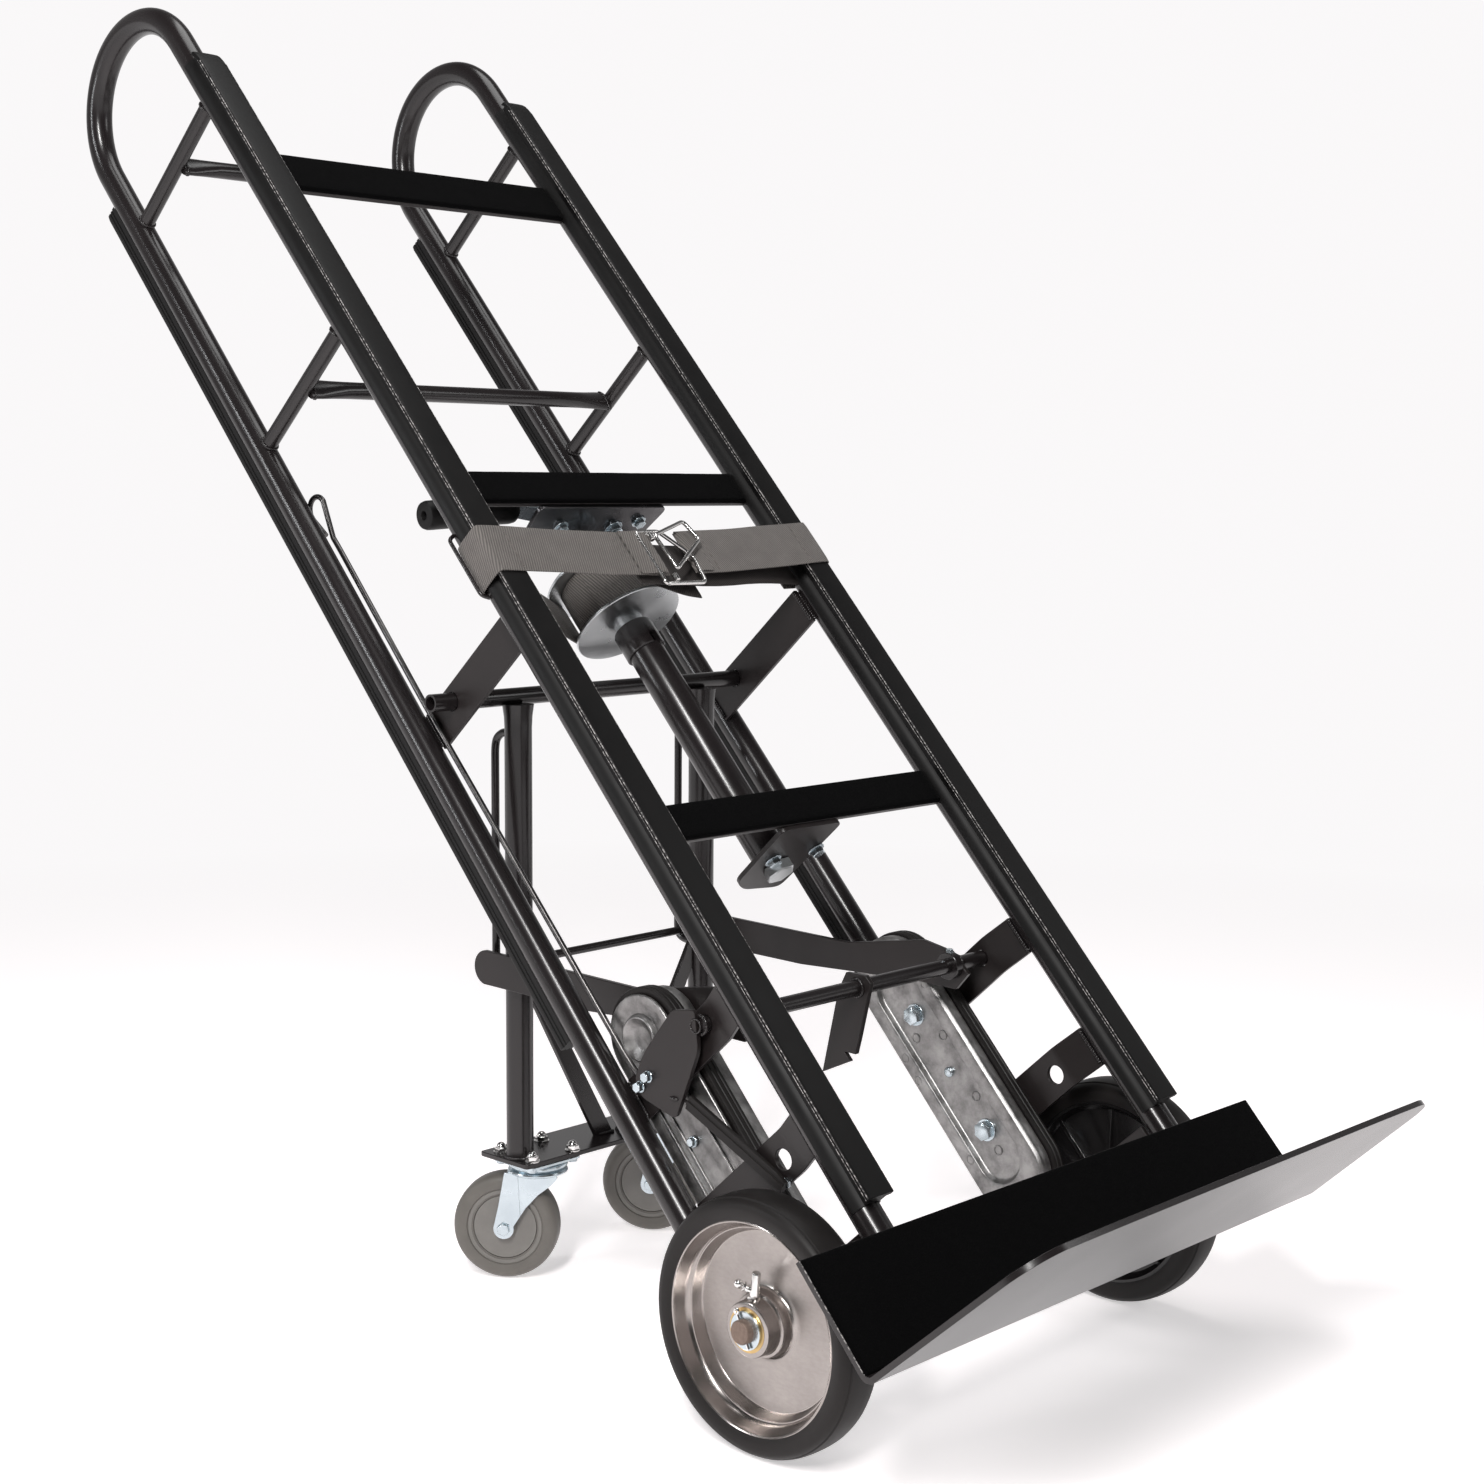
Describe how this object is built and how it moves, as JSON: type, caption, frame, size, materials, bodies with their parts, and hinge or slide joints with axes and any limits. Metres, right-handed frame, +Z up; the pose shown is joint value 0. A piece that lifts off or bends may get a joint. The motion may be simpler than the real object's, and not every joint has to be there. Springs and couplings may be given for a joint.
{
  "type": "stair climbing trolley",
  "caption": "Leaning appliance trolley with a ladder frame, belt climbers, toe plate, ratchet strap and a latched caster carriage that folds.",
  "frame": {"origin": "floor level, midway across the trolley and midway between the toe plate's front edge and the hand loops' rear", "axes": "+X to the right seen from the load side, -Y towards the load, +Z up"},
  "size_m": [0.6, 1.2668, 1.197],
  "materials": {
    "black_paint": "satin powder coat",
    "black_plastic": "matte extruded",
    "felt": "needled felt",
    "webbing": "twill woven",
    "zinc": "bright zinc plate",
    "cast_aluminium": "as cast",
    "polished_aluminium": "polished",
    "rubber": "moulded",
    "grey_tread": "moulded"
  },
  "bodies": {
    "frame": {"side_tube_left": "black_paint", "side_tube_right": "black_paint", "load_strip_left": "black_plastic", "load_strip_right": "black_plastic", "skid_strip_left": "black_plastic", "skid_strip_right": "black_plastic", "side_bar_left": "black_paint", "side_bar_right": "black_paint", "upper_bracket_left": "black_paint", "upper_bracket_right": "black_paint", "lower_bracket_left": "black_paint", "lower_bracket_right": "black_paint", "climber_guide_left": "cast_aluminium", "climber_guide_right": "cast_aluminium", "climber_belt_left": "rubber", "climber_belt_right": "rubber", "handle_brace_upper": "black_paint", "handle_brace_lower": "black_paint", "slat_upper": "black_paint", "slat_middle": "black_paint", "slat_lower": "black_paint", "slat_felt_upper": "felt", "slat_felt_middle": "felt", "slat_felt_lower": "felt", "toe_plate": "black_paint", "toe_felt": "felt", "axle": "zinc", "ratchet_plate_upper": "zinc", "ratchet_plate_lower": "black_paint", "strap_left": "webbing", "strap_right": "webbing", "buckle_frame": "zinc", "tension_strap": "rubber"},
    "wheel_left": {"wheel_hub_left": "polished_aluminium", "wheel_tyre_left": "rubber"},
    "wheel_right": {"wheel_hub_right": "polished_aluminium", "wheel_tyre_right": "rubber"},
    "pulley_upper_left": {"climber_pulley_upper_left": "cast_aluminium"},
    "pulley_lower_left": {"climber_pulley_lower_left": "cast_aluminium"},
    "pulley_upper_right": {"climber_pulley_upper_right": "cast_aluminium"},
    "pulley_lower_right": {"climber_pulley_lower_right": "cast_aluminium"},
    "carriage": {"pivot_tube": "black_paint", "leg_left": "black_paint", "leg_right": "black_paint", "carriage_base": "black_paint"},
    "slot_rod": {"cross_rod": "black_paint"},
    "latch": {"latch_shaft": "black_paint", "latch_lever": "black_paint", "link_bar_left": "black_paint", "link_bar_right": "black_paint"},
    "release": {"pull_rod": "zinc"},
    "fork_left": {"caster_fork_left": "zinc"},
    "fork_right": {"caster_fork_right": "zinc"},
    "caster_left": {"caster_wheel_left": "grey_tread"},
    "caster_right": {"caster_wheel_right": "grey_tread"},
    "reel": {"ratchet_reel": "zinc", "webbing_roll": "webbing"},
    "reel_handle": {"ratchet_lever": "zinc"},
    "buckle_tongue": {"buckle_ring": "zinc"}
  },
  "joints": [
    {"name": "wheel_spin_left", "type": "hinge", "parent": "frame", "child": "wheel_left", "pos_m": [-0.236, -0.3462, 0.1016], "axis": [1, 0, 0], "continuous": true},
    {"name": "wheel_spin_right", "type": "hinge", "parent": "frame", "child": "wheel_right", "pos_m": [0.236, -0.3462, 0.1016], "axis": [1, 0, 0], "continuous": true},
    {"name": "climber_upper_spin_left", "type": "hinge", "parent": "frame", "child": "pulley_upper_left", "pos_m": [-0.1656, -0.1504, 0.27896], "axis": [1, 0, 0], "continuous": true},
    {"name": "climber_lower_spin_left", "type": "hinge", "parent": "frame", "child": "pulley_lower_left", "pos_m": [-0.1656, -0.29065, 0.12536], "axis": [1, 0, 0], "continuous": true},
    {"name": "climber_upper_spin_right", "type": "hinge", "parent": "frame", "child": "pulley_upper_right", "pos_m": [0.1656, -0.1504, 0.27896], "axis": [1, 0, 0], "continuous": true},
    {"name": "climber_lower_spin_right", "type": "hinge", "parent": "frame", "child": "pulley_lower_right", "pos_m": [0.1656, -0.29065, 0.12536], "axis": [1, 0, 0], "continuous": true},
    {"name": "carriage_fold", "type": "hinge", "parent": "frame", "child": "carriage", "pos_m": [0, 0.0838, 0.5438], "axis": [1, 0, 0], "range_deg": [-27.5, 0]},
    {"name": "slot_rod_slide", "type": "slide", "parent": "carriage", "child": "slot_rod", "axis": [0, 0, 1], "range_m": [0, 0.1593]},
    {"name": "latch_swing", "type": "hinge", "parent": "frame", "child": "latch", "pos_m": [0, -0.2305, 0.306], "axis": [1, 0, 0], "range_deg": [0, 31.02], "deforming": ["tension_strap"]},
    {"name": "release_pull", "type": "slide", "parent": "frame", "child": "release", "axis": [0, 0.6743, 0.7385], "range_m": [0, 0.0427]},
    {"name": "caster_swivel_left", "type": "hinge", "parent": "carriage", "child": "fork_left", "pos_m": [-0.095, 0.0718, 0.108], "axis": [0, 0, 1], "continuous": true},
    {"name": "caster_spin_left", "type": "hinge", "parent": "fork_left", "child": "caster_left", "pos_m": [-0.1125, 0.0948, 0.0495], "axis": [-0.7958, -0.6055, 0], "continuous": true},
    {"name": "caster_swivel_right", "type": "hinge", "parent": "carriage", "child": "fork_right", "pos_m": [0.095, 0.0718, 0.108], "axis": [0, 0, 1], "continuous": true},
    {"name": "caster_spin_right", "type": "hinge", "parent": "fork_right", "child": "caster_right", "pos_m": [0.0775, 0.0948, 0.0495], "axis": [-0.7958, -0.6055, 0], "continuous": true},
    {"name": "reel_spin", "type": "hinge", "parent": "frame", "child": "reel", "pos_m": [0, 0.04917, 0.60725], "axis": [0, 0.6743, 0.7385], "continuous": true},
    {"name": "reel_handle_swing", "type": "hinge", "parent": "frame", "child": "reel_handle", "pos_m": [0, 0.11795, 0.68257], "axis": [0, 0.6743, 0.7385], "range_deg": [-75, 5]},
    {"name": "buckle_tongue_flip", "type": "hinge", "parent": "frame", "child": "buckle_tongue", "pos_m": [-0.017, -0.01306, 0.67762], "axis": [0, 0.6743, 0.7385], "range_deg": [-90, 0]}
  ],
  "couplings": [
    {"joint": "slot_rod_slide", "follows": "carriage_fold", "m_per_rad": -0.3318},
    {"joint": "latch_swing", "follows": "carriage_fold", "ratio": -1.128},
    {"joint": "release_pull", "follows": "carriage_fold", "m_per_rad": -0.0888},
    {"joint": "climber_lower_spin_left", "follows": "climber_upper_spin_left", "ratio": 1},
    {"joint": "climber_lower_spin_right", "follows": "climber_upper_spin_right", "ratio": 1}
  ]
}
